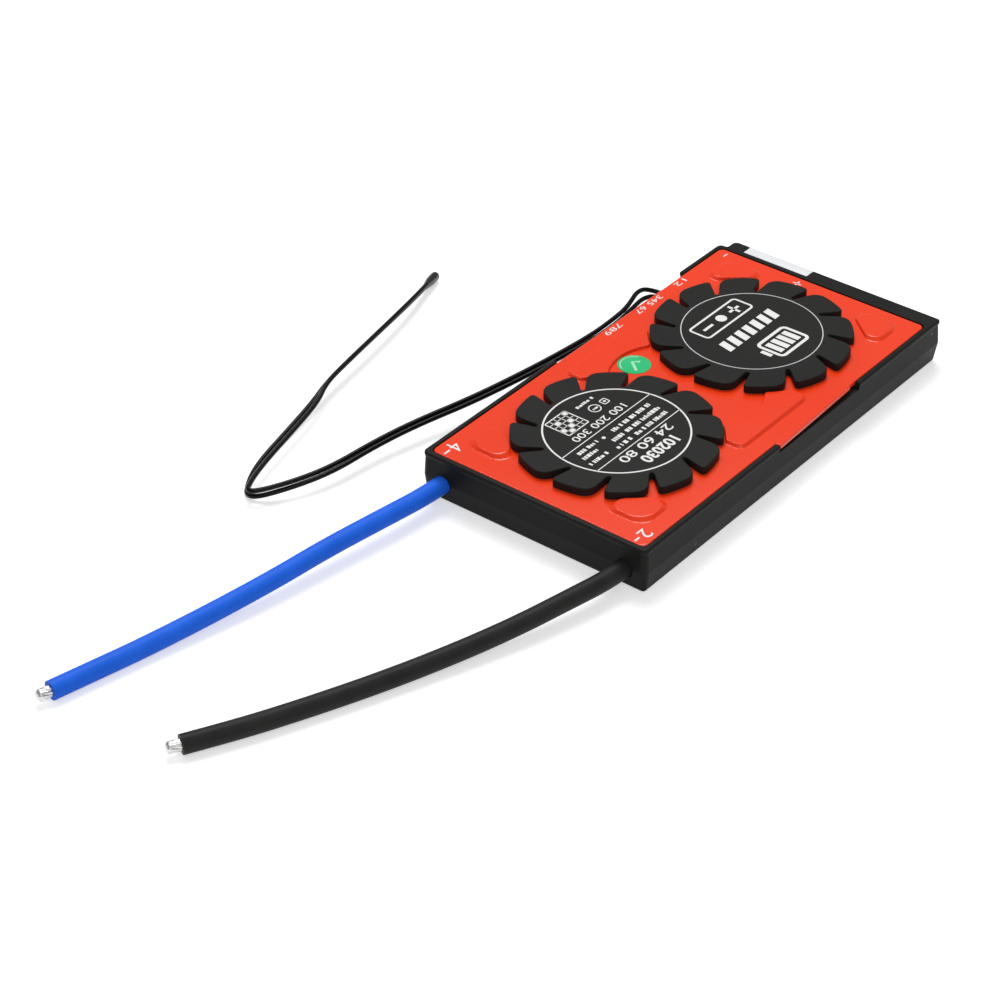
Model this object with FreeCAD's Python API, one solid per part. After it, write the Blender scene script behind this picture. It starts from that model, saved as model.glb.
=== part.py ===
"""Battery management board in a flat moulded case.

A black moulded case holds a circuit board.  A red pressed cover plate closes
the top and carries two black twelve-petal cooling rosettes.  Two power cables
leave the near short wall, a white balance header fills a bay in the far end,
three small sockets face left, and a two-core sensor lead with a bead on its
end is plugged into the last of them.

The origin is the centre of the footprint, on the surface that the case stands
on.  +X runs across the case, +Y runs along it towards the balance header, and
+Z is up.  Lengths are millimetres and angles are degrees.
"""
import FreeCAD, Part
import math
import os

V = FreeCAD.Vector
UP = V(0, 0, 1)

# Case
case_width = 65.0
case_length = 124.6
case_height = 12.0
corner_radius = 1.6
far_corner_radius = 0.9   # the sharper far right corner
wall = 2.2
case_floor = 1.1
parting_height = 5.5      # where the mould halves meet, and the case is widest
foot_draft = 0.7          # how far the walls lean in down to the foot
waist_drop = 1.4          # the waist lies this far below the top
waist_inset = 0.3         # how far the walls lean in up to the waist
rim_drop = 0.9            # the rim stands out again this far below the top
rim_inset = 0.1
foot_round = 0.8
rim_round = 0.5
step_corner = 0.5         # the inward corner of the stepped outline

# Connector bay at the far end
bay_depth = 3.6
bay_step = 2.4            # how far the bay stands back from the left side
bay_block = 4.7           # solid end of the bay, left of the header
header_margin = 4.0       # width of the header's gap beyond its outer pins

# Cover plate and the rim round it
sheet = 1.0
plate_drop = 0.1          # the rim stands this far above the plate
rim_width = 1.4
plate_clearance = 0.3
plate_corner = 1.5
ledge_overlap = 0.5       # how far the ledge reaches in under the plate
ledge_thickness = 1.0
ear_near = -8.6
ear_far = 22.8
ear_reach_near = 1.4
ear_reach_far = 0.4

# Pressed bosses of the cover plate
boss_height = 0.8
boss_slope = 0.8
boss_outer_slope = 1.3    # run of a corner boss's slope on its outer sides
boss_back_slope = 0.3     # and on the side that faces the rosette
boss_skirt = 0.1
boss_side_margin = 4.4    # between the plate's side and every boss
boss_end_margin = 6.1     # between the plate's near end and the corner bosses
boss_shift = 1.3          # the corner bosses' middle, beyond the plate's middle
boss_gap = 0.15            # between a boss's foot and the rosette beside it
corner_boss_angle = 50.0  # where its slanted side faces the rosette
corner_round_share = 0.27  # of the triangle's width
tip_round_share = 0.127
middle_boss_share = 0.54   # of the rosette's radius left beside each rosette
middle_boss_round = 2.4
middle_tip_round = 1.2
scoop_waist = 6.8         # width of the middle boss where it is scooped out
scoop_reach = 4.4
scoop_radius = 14.4

# Windows in the side walls
window_near_margin = 20.3  # the left window, beyond the middles of the end sockets
window_far_margin = 4.3
notch_near = -9.0
notch_far = 25.2
notch_depth = 1.9

# Cooling rosettes
rosette_side_margin = 5.6
rosette_end_margin = 5.75
rosette_gap = 5.3         # least room between the two rosettes
rosette_height = 2.1
petal_count = 12
slot_length = 5.9         # from the centre of a slot's round inner end to the rim
slot_root_angle = 31.5
slot_half_width = 0.52
slot_overrun = 1.0        # outside the disc, where both sides are aimed
slot_steep_angle = 29.0   # where the steep side is aimed
slot_flared_angle = 22.6  # where the flared side is aimed
petal_small_round = 1.0
petal_large_round = 3.4
rosette_edge = 0.25

# Circuit board and the supports under it
board_thickness = 1.6
board_standoff = 0.4
board_clearance = 0.3
support_radius = 2.0
support_inset = 6.0

# Power cables
cable_diameter = 4.6
cable_hole_clearance = 0.1
cable_side_margin = 6.1   # between the case's side and a cable's axis
core_diameter = 2.5
core_flat = 0.15          # the soldered underside of the bare core
core_bare_length = 6.5
strip_depth = 4.8         # how far inside the case the insulation stops
cable_slot_clearance = 0.5
tip_diameter = 3.0
tip_length = 3.4
tip_round = 0.8
busbar_thickness = 0.6
busbar_width = 5.6
busbar_hook = 2.5

# Power stage under the rosettes
transistor_length_share = 0.397  # sizes and places as shares of the rosette's radius
transistor_depth_share = 0.341
transistor_pitch_share = 0.492
transistor_row_share = 0.595
transistor_height = 4.4
tab_depth = 1.6
tab_height = 1.2
leg_width = 0.9
leg_length = 2.4
leg_thickness = 0.5
transistor_columns = 3
pad_thickness = 0.5
spreader_width_share = 1.508
spreader_length_share = 1.19
spreader_corner = 1.5
groove_count = 6
groove_width = 2.0
groove_share = 0.35        # a groove's depth as a share of the spreader's thickness

# Shunts and small parts on the board
shunt_spacing = 7.0
shunt_width = 3.0
shunt_length = 12.0
shunt_rise = 2.4
shunt_thickness = 0.8
shunt_foot = 2.2
shunt_ramp = 1.2
control_x = 8.0
control_from_bay = 10.9
control_size = 8.0
control_height = 1.6
control_legs = 8
monitor_from_bay = 13.4
monitor_width = 9.0
monitor_length = 4.2
monitor_height = 1.8
monitor_legs = 6
capacitor_from_side = 10.5
capacitor_from_bay = 11.9
capacitor_from_bar = 1.7
capacitor_from_end = 10.0
capacitor_shift = 1.0      # the near one stands this much closer to the middle
capacitor_radius = 3.1
capacitor_height = 5.4
capacitor_base = 6.6
resistor_count = 8
resistor_pitch = 3.0
resistor_size = (1.8, 3.2, 0.7)
resistor_gap = 2.2        # behind the balance header

# Pin headers and sockets
pin_pitch = 2.0
pin_size = 0.5
pin_reach = 4.2           # how far a pin stands out in its mouth
pin_tail = 1.0            # how far a pin stands out behind
mouth_depth = 5.6
shroud_wall = 0.9
key_width = 1.6
key_depth = 1.6
header_pins = 9
header_side_gap = 0.2
header_face_inset = 0.1
header_depth = 7.3
header_top_gap = 0.1
socket_margin = 3.9       # width of a socket beyond its outer pins
socket_height = 5.4
socket_depth = 7.4
socket_face_inset = 0.5
uart_pins, uart_from_bay = 6, 50.7
led_pins, led_from_bay = 3, 35.7
sensor_pins, sensor_from_bay = 2, 22.2
plug_fit = 0.06
plug_stand_out = 1.5
latch_width = 1.2
latch_height = 0.6

# Sensor lead
lead_diameter = 1.25
bead_diameter = 2.75
bead_length = 7.0
bead_nose = 0.25          # radius of the flat left on the bead's nose
bead_shoulder = 0.05

# Round sticker on the plate
sticker_radius = 4.15
sticker_thickness = 0.12
sticker_gap = 0.05        # between the sticker and the scooped boss

# Where the cords run, from the case outwards
battery_route = [
    (-26.4, -57.5, 4.8),
    (-26.4, -66.5, 4.8),
    (-28.5, -82.0, 5.1),
    (-31.1, -98.0, 4.9),
    (-33.0, -112.5, 4.3),
    (-36.6, -130.0, 3.2),
    (-40.6, -147.5, 2.4),
    (-43.3, -159.0, 2.35),
    (-45.9, -170.3, 2.35),
]
pack_route = [
    (26.4, -57.5, 4.8),
    (26.4, -66.0, 4.8),
    (23.3, -79.0, 4.5),
    (19.6, -92.5, 3.7),
    (14.2, -107.7, 2.8),
    (7.9, -124.2, 2.4),
    (0.9, -140.8, 2.35),
    (-5.6, -154.8, 2.35),
    (-11.6, -165.8, 2.35),
]
sensor_route_a = [
    (-33.5, 37.5, 5.8),
    (-37.8, 37.5, 5.8),
    (-39.41, 32.67, 8.0),
    (-36.44, 23.94, 7.9),
    (-36.09, 17.33, 7.6),
    (-36.18, 8.68, 7.3),
    (-38.35, -3.75, 6.4),
    (-40.8, -16.19, 5.8),
    (-44.14, -30.82, 5.2),
    (-48.44, -45.44, 4.8),
    (-51.08, -57.95, 4.3),
    (-52.41, -72.0, 4.1),
    (-55.91, -82.58, 3.9),
    (-61.16, -92.11, 3.6),
    (-64.02, -87.47, 3.5),
    (-67.07, -78.4, 3.4),
    (-69.9, -67.1, 3.5),
    (-73.54, -52.83, 3.8),
    (-76.89, -46.05, 4.5),
    (-79.0, -34.99, 4.8),
    (-81.86, -19.25, 4.92),
    (-85.85, -1.73, 4.23),
    (-89.25, 8.07, 2.81),
]
sensor_route_b = [
    (-33.5, 35.5, 5.8),
    (-36.1, 35.5, 5.8),
    (-37.16, 31.61, 6.6),
    (-35.66, 25.48, 7.0),
    (-34.95, 17.94, 7.0),
    (-34.75, 9.08, 6.8),
    (-36.64, -4.65, 6.0),
    (-39.26, -16.95, 5.4),
    (-42.76, -31.38, 4.8),
    (-47.01, -46.03, 4.4),
    (-49.52, -58.67, 3.9),
    (-50.97, -72.6, 3.5),
    (-55.52, -83.12, 2.5),
    (-62.0, -91.74, 1.3),
    (-67.65, -85.12, 1.2),
    (-70.79, -77.3, 1.5),
    (-73.3, -65.6, 2.0),
    (-75.99, -52.74, 2.6),
    (-78.56, -44.44, 3.0),
    (-80.38, -33.87, 3.3),
    (-82.87, -18.7, 3.72),
    (-86.45, -2.11, 3.07),
    (-89.85, 7.69, 1.65),
]

# Places and heights that follow from the sizes above
half_width = case_width / 2
bay_left = -half_width + bay_step
header_gap_left = bay_left + bay_block
header_gap_right = header_gap_left + (header_pins - 1) * pin_pitch + header_margin
near_end = -case_length / 2
far_end = case_length / 2
main_far = far_end - bay_depth
waist_height = case_height - waist_drop
rim_height = case_height - rim_drop
above = case_height + 5
plate_inset = rim_width + plate_clearance
plate_half = half_width - plate_inset
plate_near = near_end + plate_inset
plate_far = main_far - plate_inset
plate_middle = (plate_near + plate_far) / 2
plate_top = case_height - plate_drop
plate_under = plate_top - sheet
roof_under = plate_under - ledge_thickness
radius_by_width = plate_half - rosette_side_margin
radius_by_length = (plate_far - plate_near - 2 * rosette_end_margin - rosette_gap) / 4
rosette_radius = min(radius_by_width, radius_by_length)
rosette_near_y = plate_near + rosette_end_margin + rosette_radius
rosette_far_y = plate_far - rosette_end_margin - rosette_radius
slot_root_radius = rosette_radius - slot_length
slot_rim_radius = rosette_radius + slot_overrun
boss_edge = plate_half - boss_side_margin
boss_end = plate_near + boss_end_margin
boss_middle = plate_middle + boss_shift
scoop_edge = boss_edge - scoop_waist
sticker_x = sticker_radius + sticker_gap - scoop_edge
middle_boss_half = rosette_far_y - plate_middle - middle_boss_share * rosette_radius
transistor_length = transistor_length_share * rosette_radius
transistor_depth = transistor_depth_share * rosette_radius
transistor_pitch = transistor_pitch_share * rosette_radius
transistor_rows = transistor_row_share * rosette_radius
spreader_width = spreader_width_share * rosette_radius
spreader_length = spreader_length_share * rosette_radius
board_under = case_floor + board_standoff
board_top = board_under + board_thickness
cable_radius = cable_diameter / 2
core_radius = core_diameter / 2
cable_x = half_width - cable_side_margin
strip_y = near_end + strip_depth
core_height = board_top + busbar_thickness + core_radius - core_flat
pad_under = board_top + transistor_height
spreader_under = pad_under + pad_thickness
uart_y = main_far - uart_from_bay
led_y = main_far - led_from_bay
sensor_y = main_far - sensor_from_bay
left_window_near = uart_y - window_near_margin
left_window_far = sensor_y + window_far_margin
header_x = (header_gap_left + header_gap_right) / 2
header_half = (header_gap_right - header_gap_left) / 2 - header_side_gap
header_face = far_end - header_face_inset
header_back = header_face - header_depth
header_top = roof_under - header_top_gap
header_pin_z = (board_top + header_top) / 2
socket_face = half_width - socket_face_inset
socket_pin_z = board_top + socket_height / 2


def rounded_wire(corners, z=0.0):
    """A closed outline through corners (x, y, radius), rounded by tangent arcs."""
    points = [V(x, y, z) for x, y, _ in corners]
    radii = [r for _, _, r in corners]
    count = len(points)
    starts, middles, ends = [], [], []
    for i, point in enumerate(points):
        back = (points[i - 1] - point).normalize()
        ahead = (points[(i + 1) % count] - point).normalize()
        half_angle = back.getAngle(ahead) / 2
        trim = radii[i] / math.tan(half_angle)
        reach = radii[i] / math.sin(half_angle) - radii[i]
        starts.append(point + back * trim)
        middles.append(point + (back + ahead).normalize() * reach)
        ends.append(point + ahead * trim)
    edges = []
    for i in range(count):
        edges.append(Part.LineSegment(ends[i - 1], starts[i]).toShape())
        edges.append(Part.Arc(starts[i], middles[i], ends[i]).toShape())
    return Part.Wire(edges)


def prism(corners, z0, z1):
    """A straight solid on a rounded outline, from height z0 to z1."""
    return Part.Face(rounded_wire(corners, z0)).extrude(V(0, 0, z1 - z0))


def box(x0, x1, y0, y1, z0, z1):
    """A box between two opposite corners."""
    return Part.makeBox(x1 - x0, y1 - y0, z1 - z0, V(x0, y0, z0))


def rectangle(x0, x1, y0, y1, radius):
    """Corners of a rectangle with one radius all round."""
    return [(x0, y0, radius), (x1, y0, radius), (x1, y1, radius), (x0, y1, radius)]


def fused(shapes):
    """Several solids joined into one."""
    return shapes[0].fuse(shapes[1:]).removeSplitter()


def edges_at_height(shape, z):
    """The edges that lie wholly at one height."""
    flat = []
    for edge in shape.Edges:
        low, high = edge.BoundBox.ZMin, edge.BoundBox.ZMax
        if abs(low - z) < 1e-4 and abs(high - z) < 1e-4:
            flat.append(edge)
    return flat


def upright_edges(shape):
    """The straight vertical edges."""
    found = []
    for edge in shape.Edges:
        size = edge.BoundBox
        if size.ZLength > 0.01 and math.hypot(size.XLength, size.YLength) < 1e-4:
            found.append(edge)
    return found


def case_outline(inset):
    """The case's plan, drawn in by an inset, with its stepped left far corner."""
    radius = max(corner_radius - inset, 0.5)
    left, right = -half_width + inset, half_width - inset
    near, far = near_end + inset, far_end - inset
    step_x, step_y = bay_left + inset, main_far - inset
    return [
        (left, near, radius),
        (right, near, radius),
        (right, far, far_corner_radius),
        (step_x, far, radius),
        (step_x, step_y, step_corner),
        (left, step_y, radius),
    ]


def plate_outline(grow):
    """The cover plate's rectangle, grown all round by a clearance."""
    return rectangle(
        -plate_half - grow,
        plate_half + grow,
        plate_near - grow,
        plate_far + grow,
        plate_corner + grow,
    )


def case_body():
    """The outside of the case: drafted foot, waist and rounded rim."""
    levels = [
        (0, foot_draft),
        (parting_height, 0),
        (waist_height, waist_inset),
        (rim_height, rim_inset),
        (case_height, rim_inset),
    ]
    body = None
    for (z0, inset0), (z1, inset1) in zip(levels, levels[1:]):
        low, high = rounded_wire(case_outline(inset0), z0), rounded_wire(case_outline(inset1), z1)
        layer = Part.makeLoft([low, high], True, True)
        body = layer if body is None else body.fuse(layer)
    body = body.makeFillet(foot_round, edges_at_height(body, 0))
    return body.makeFillet(rim_round, edges_at_height(body, case_height))


def case_hollow():
    """The room inside: below the roof, through the ledge, and the plate's recess."""
    return [
        prism(case_outline(wall), case_floor, roof_under),
        prism(plate_outline(-ledge_overlap), roof_under - 1, plate_under),
        prism(plate_outline(plate_clearance), plate_under, above),
    ]


def case_openings():
    """Cable holes, the header's bay, the left window and the right notch."""
    out, across = half_width + wall, half_width - 2 * wall
    openings = [
        box(header_gap_left, header_gap_right, main_far, far_end + wall, board_top - 0.1, above),
        box(-out, -across, left_window_near, left_window_far, board_top - 0.1, above),
        box(across, out, notch_near, notch_far, case_height - notch_depth, above),
    ]
    for x in (-cable_x, cable_x):
        start = V(x, near_end - wall, core_height)
        openings.append(
            Part.makeCylinder(cable_radius + cable_hole_clearance, 3 * wall, start, V(0, 1, 0))
        )
    return openings


def supports():
    """Low round supports under the circuit board."""
    x = half_width - wall - support_inset
    solids = []
    for side in (-1, 1):
        for y in (plate_near + 2 * support_inset, plate_middle, plate_far - 2 * support_inset):
            solids.append(Part.makeCylinder(support_radius, board_standoff, V(side * x, y, case_floor)))
    return solids


def case():
    """The whole case."""
    body = case_body()
    for cutter in case_hollow() + case_openings():
        body = body.cut(cutter)
    return fused([body] + supports())


def corner_boss():
    """The pressed boss at the near right corner: a rounded triangle with sloped sides."""
    turn = math.radians(corner_boss_angle)
    facing = V(math.cos(turn), -math.sin(turn), 0)

    def outline(inset, back, z):
        edge, end = boss_edge - inset, boss_end + inset
        reach = rosette_radius + boss_gap + back
        tip_x = (reach - facing.y * (end - rosette_near_y)) / facing.x
        tip_y = rosette_near_y + (reach - facing.x * edge) / facing.y
        width = edge - tip_x
        corners = [
            (tip_x, end, tip_round_share * width),
            (edge, end, corner_round_share * width),
            (edge, tip_y, tip_round_share * width),
        ]
        return rounded_wire(corners, z)

    foot = outline(0, 0, plate_top)
    crown = outline(boss_outer_slope, boss_back_slope, plate_top + boss_height)
    skirt = Part.Face(outline(0, 0, plate_top - boss_skirt)).extrude(V(0, 0, boss_skirt))
    slope = Part.makeLoft([foot, crown], True, True)
    return skirt.fuse(slope)


def middle_boss():
    """The pressed boss at the middle of the right side, scooped on its inner side."""
    z0, z1 = plate_top - boss_skirt, plate_top + boss_height
    tall = z1 - z0 + 2
    left = scoop_edge - scoop_reach
    near, far = plate_middle - middle_boss_half, plate_middle + middle_boss_half
    corners = [
        (left, near, 0.1),
        (boss_edge, near, middle_boss_round),
        (boss_edge, far, middle_boss_round),
        (left, far, 0.1),
    ]
    boss = prism(corners, z0, z1)
    scoop_centre = V(scoop_edge - scoop_radius, plate_middle, z0 - 1)
    boss = boss.cut(Part.makeCylinder(scoop_radius, tall, scoop_centre))
    for y in (rosette_near_y, rosette_far_y):
        boss = boss.cut(Part.makeCylinder(rosette_radius + boss_gap, tall, V(0, y, z0 - 1)))
    boss = boss.Solids[0]
    tips = []
    for edge in upright_edges(boss):
        spot = edge.BoundBox.Center
        inside = spot.x < boss_edge - middle_boss_round - 0.1
        if inside and abs(spot.y - plate_middle) > 1:
            tips.append(edge)
    boss = boss.makeFillet(middle_tip_round, tips)
    return boss.makeChamfer(boss_slope, edges_at_height(boss, z1))


def all_bosses(lift):
    """The six pressings, mirrored from two, moved up by lift."""
    centre = V(0, boss_middle, 0)
    right = [corner_boss(), corner_boss().mirror(centre, V(0, 1, 0)), middle_boss()]
    left = [boss.mirror(centre, V(1, 0, 0)) for boss in right]
    solids = right + left
    for solid in solids:
        solid.translate(V(0, 0, lift))
    return solids


def cover_plate():
    """The red sheet, with its pressed bosses and an ear over the right notch."""
    blank = prism(plate_outline(0), plate_under, plate_top)
    root = plate_half - 2
    ear_corners = [
        (root, ear_near, 0.1),
        (plate_half + ear_reach_near, ear_near, 0.4),
        (plate_half + ear_reach_far, ear_far, 0.4),
        (root, ear_far, 0.1),
    ]
    ear = prism(ear_corners, plate_under, plate_top)
    plate = fused([blank, ear] + all_bosses(0))
    for hollow in all_bosses(-sheet):
        plate = plate.cut(hollow)
    return plate


def polar(radius, angle):
    """A point at a radius and an angle about the origin."""
    turn = math.radians(angle)
    return V(radius * math.cos(turn), radius * math.sin(turn), 0)


def tangent_point(outside, centre, radius, side):
    """Where a line from an outside point touches a circle, on its -1 or 1 side."""
    away = outside - centre
    swing = math.atan2(away.y, away.x) + side * math.acos(radius / away.Length)
    return centre + V(math.cos(swing), math.sin(swing), 0) * radius


def slot_cutter():
    """One slot of a rosette: a round inner end, a steep side and a flared side."""
    centre = polar(slot_root_radius, slot_root_angle)
    flared_rim = polar(slot_rim_radius, slot_flared_angle)
    steep_rim = polar(slot_rim_radius, slot_steep_angle)
    flared_root = tangent_point(flared_rim, centre, slot_half_width, -1)
    steep_root = tangent_point(steep_rim, centre, slot_half_width, 1)
    inward = (flared_root + steep_root - centre * 2).normalize()
    inner = centre + inward * slot_half_width
    edges = [
        Part.LineSegment(flared_rim, flared_root).toShape(),
        Part.Arc(flared_root, inner, steep_root).toShape(),
        Part.LineSegment(steep_root, steep_rim).toShape(),
        Part.LineSegment(steep_rim, flared_rim).toShape(),
    ]
    return Part.Face(Part.Wire(edges)).extrude(V(0, 0, rosette_height))


def petal_corners(disc, steep):
    """The upright edges where the slots' steep or flared sides meet the rim."""
    middle = (slot_steep_angle + slot_flared_angle) / 2
    chosen = []
    for edge in upright_edges(disc):
        spot = edge.BoundBox.Center
        if abs(math.hypot(spot.x, spot.y) - rosette_radius) > 0.01:
            continue
        angle = math.degrees(math.atan2(spot.y, spot.x)) % (360 / petal_count)
        if (angle > middle) == steep:
            chosen.append(edge)
    return chosen[:petal_count]


def rosette(centre_y):
    """A twelve-petal cooling disc with swept slots and soft petal corners."""
    disc = Part.makeCylinder(rosette_radius, rosette_height)
    disc.rotate(V(0, 0, 0), UP, (slot_steep_angle + slot_flared_angle) / 2)
    slot = slot_cutter()
    for k in range(petal_count):
        turned = slot.copy()
        turned.rotate(V(0, 0, 0), UP, k * 360 / petal_count)
        disc = disc.cut(turned)
    disc = disc.Solids[0]
    disc = disc.makeFillet(petal_small_round, petal_corners(disc, True))
    disc = disc.makeFillet(petal_large_round, petal_corners(disc, False))
    disc = disc.makeChamfer(rosette_edge, edges_at_height(disc, rosette_height))
    disc.translate(V(0, centre_y, plate_top))
    return disc


def circuit_board():
    """The board, following the case's plan, with a slot for each cable."""
    board = prism(case_outline(wall + board_clearance), board_under, board_top)
    half = cable_radius + cable_slot_clearance
    for x in (-cable_x, cable_x):
        slot = box(x - half, x + half, near_end, strip_y + cable_slot_clearance, 0, board_top + 1)
        board = board.cut(slot)
    return board


def transistor(x, y):
    """One power transistor lying on the board: body, tab and two legs."""
    half, depth = transistor_length / 2, transistor_depth / 2
    body = box(-half, half, -depth, depth, 0, transistor_height)
    body = body.makeChamfer(0.4, edges_at_height(body, transistor_height))
    shapes = [body, box(-half + 0.4, half - 0.4, depth, depth + tab_depth, 0, tab_height)]
    for leg_x in (-half / 2, half / 2):
        left, right = leg_x - leg_width / 2, leg_x + leg_width / 2
        shapes.append(box(left, right, -depth - leg_length, -depth, 0, leg_thickness))
    part = fused(shapes)
    part.translate(V(x, y, board_top))
    return part


def transistor_bank(centre_y):
    """Two rows of transistors under one rosette."""
    middle = (transistor_columns - 1) / 2
    parts = []
    for row in (-0.5, 0.5):
        for column in range(transistor_columns):
            x = (column - middle) * transistor_pitch
            parts.append(transistor(x, centre_y + row * transistor_rows))
    return Part.makeCompound(parts)


def spreader_outline(centre_y):
    """The plan that a thermal pad and its heat spreader share."""
    x, y = spreader_width / 2, spreader_length / 2
    return rectangle(-x, x, centre_y - y, centre_y + y, spreader_corner)


def thermal_pad(centre_y):
    """The soft pad between a bank of transistors and its heat spreader."""
    return prism(spreader_outline(centre_y), pad_under, spreader_under)


def heat_spreader(centre_y):
    """A grooved aluminium block from a thermal pad up to the cover plate."""
    block = prism(spreader_outline(centre_y), spreader_under, plate_under)
    reach = spreader_length
    pitch = spreader_width / (groove_count + 1)
    for k in range(groove_count):
        x = (k - (groove_count - 1) / 2) * pitch
        left, right = x - groove_width / 2, x + groove_width / 2
        bottom = plate_under - groove_share * (plate_under - spreader_under)
        block = block.cut(box(left, right, centre_y - reach, centre_y + reach, bottom, above))
    return block


def busbar(side, far_y):
    """A copper strip from a cable's core to beside a bank, where it hooks in."""
    near, far = strip_y + cable_slot_clearance + 0.3, far_y + busbar_width / 2
    outer, inner = side * (cable_x + busbar_width / 2), side * (cable_x - busbar_width / 2)
    tip = inner - side * busbar_hook
    outline = [
        (outer, near, 0.5),
        (outer, far, 0.8),
        (tip, far, 0.8),
        (tip, far - busbar_width, 0.8),
        (inner, far - busbar_width, 0.8),
        (inner, near, 0.5),
    ]
    return prism(outline, board_top, board_top + busbar_thickness)


def shunts():
    """Three bridge-shaped metal shunts between the two banks."""
    foot, ramp, t = shunt_foot, shunt_ramp, shunt_thickness
    under = shunt_rise - t
    half_profile = [
        (0, 0, 0.2),
        (foot, 0, 0.5),
        (foot + ramp, under, 0.5),
    ]
    top_profile = [
        (foot + ramp - t / 2, shunt_rise, 0.6),
        (foot - t / 2, t, 0.4),
        (0, t, 0.2),
    ]
    mirrored = [(shunt_length - x, z, r) for x, z, r in reversed(half_profile)]
    mirrored += [(shunt_length - x, z, r) for x, z, r in reversed(top_profile)]
    profile = half_profile + mirrored + top_profile
    solids = []
    for k in (-1, 0, 1):
        strip = Part.Face(rounded_wire(profile)).extrude(V(0, 0, shunt_width))
        strip.rotate(V(0, 0, 0), V(1, 0, 0), 90)
        strip.rotate(V(0, 0, 0), UP, 90)
        x = k * shunt_spacing - shunt_width / 2
        strip.translate(V(x, plate_middle - shunt_length / 2, board_top))
        solids.append(strip)
    return Part.makeCompound(solids)


def flat_chip(x, y, width, length, height, legs, four_sided):
    """A flat chip with a row of legs down each of its leg sides."""
    body = box(-width / 2, width / 2, -length / 2, length / 2, 0.1, height)
    body = body.makeChamfer(0.2, edges_at_height(body, height))
    shapes = [body]
    leg, reach = 0.4, 1.0
    for k in range(legs):
        at = (k - (legs - 1) / 2) * length / (legs + 0.5)
        low, high = at - leg / 2, at + leg / 2
        shapes.append(box(-width / 2 - reach, width / 2 + reach, low, high, 0, 0.3))
        if four_sided:
            shapes.append(box(low, high, -length / 2 - reach, length / 2 + reach, 0, 0.3))
    chip = fused(shapes)
    chip.translate(V(x, y, board_top))
    return chip


def control_chip():
    """The square chip that runs the board."""
    y = main_far - control_from_bay
    return flat_chip(control_x, y, control_size, control_size, control_height, control_legs, True)


def monitor_chip():
    """The narrow chip that reads the cells, in front of the balance header."""
    y = main_far - monitor_from_bay
    return flat_chip(header_x, y, monitor_width, monitor_length, monitor_height, monitor_legs, False)


def balance_resistors():
    """A row of chip resistors behind the balance header."""
    width, length, height = resistor_size
    far = header_back - pin_tail - resistor_gap
    parts = []
    for k in range(resistor_count):
        x = header_x + (k - (resistor_count - 1) / 2) * resistor_pitch
        left, right = x - width / 2, x + width / 2
        parts.append(box(left, right, far - length, far, board_top, board_top + height))
    return Part.makeCompound(parts)


def capacitors():
    """Can capacitors on square bases."""
    half = capacitor_base / 2
    beside_bar = cable_x - busbar_width / 2 - half - capacitor_from_bar
    places = [
        (half_width - capacitor_from_side, main_far - capacitor_from_bay),
        (beside_bar, plate_middle),
        (capacitor_shift - beside_bar, near_end + capacitor_from_end),
    ]
    cans = []
    for x, y in places:
        foot = box(x - half, x + half, y - half, y + half, board_top, board_top + 1)
        can = Part.makeCylinder(capacitor_radius, capacitor_height - 1, V(x, y, board_top + 1))
        can = can.makeFillet(0.5, edges_at_height(can, board_top + capacitor_height))
        cans.append(fused([foot, can]))
    return Part.makeCompound(cans)


def pin_row(count, face, depth, pin_z):
    """Right-angle pins facing +Y, set out about x = 0, with tails down to the board."""
    w = pin_size / 2
    tip = face - mouth_depth + pin_reach
    tail = face - depth - pin_tail
    pins = []
    for k in range(count):
        x = (k - (count - 1) / 2) * pin_pitch
        lying = box(x - w, x + w, tail, tip, pin_z - w, pin_z + w)
        standing = box(x - w, x + w, tail, tail + pin_size, board_top, pin_z + w)
        pins.append(fused([lying, standing]))
    return Part.makeCompound(pins)


def shroud(half, face, depth, top):
    """A pin shroud facing +Y, set out about x = 0: a box with a keyed mouth."""
    body = prism(rectangle(-half, half, face - depth, face, 0.3), board_top, top)
    inner = half - shroud_wall
    low, high = board_top + shroud_wall, top - shroud_wall
    body = body.cut(box(-inner, inner, face - mouth_depth, face + 1, low, high))
    key = key_width / 2
    return body.cut(box(-key, key, face - key_depth, face + 1, high - 0.1, top + 1))


def balance_pins():
    """The balance header's pins."""
    pins = pin_row(header_pins, header_face, header_depth, header_pin_z)
    pins.translate(V(header_x, 0, 0))
    return pins


def balance_header():
    """The white balance header that fills the bay."""
    body = shroud(header_half, header_face, header_depth, header_top)
    body.translate(V(header_x, 0, 0))
    return body.cut(balance_pins())


def to_left_side(shape, y):
    """Turn a socket drawn facing +Y so that it faces -X, and move it to its place."""
    shape.rotate(V(0, 0, 0), UP, 90)
    shape.translate(V(0, y, 0))
    return shape


def socket_half(count):
    """Half the width of a side socket."""
    return ((count - 1) * pin_pitch + socket_margin) / 2


def socket_pins(count, y):
    """The pins of one side socket."""
    return to_left_side(pin_row(count, socket_face, socket_depth, socket_pin_z), y)


def side_socket(count, y):
    """One small white socket on the left edge of the board."""
    body = shroud(socket_half(count), socket_face, socket_depth, board_top + socket_height)
    return to_left_side(body, y).cut(socket_pins(count, y))


def sensor_plug():
    """The plug of the sensor lead, home in its socket, with a latch on top."""
    half = socket_half(sensor_pins) - shroud_wall - plug_fit
    low = board_top + shroud_wall + plug_fit
    high = board_top + socket_height - shroud_wall - plug_fit
    inner, outer = socket_face - mouth_depth + plug_fit, socket_face + plug_stand_out
    body = box(-half, half, inner, outer, low, high)
    latch = box(
        -latch_width / 2, latch_width / 2, socket_face - 1.4, outer, high, high + latch_height
    )
    plug = to_left_side(fused([body, latch]), sensor_y)
    return plug.cut(socket_pins(sensor_pins, sensor_y))


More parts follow.
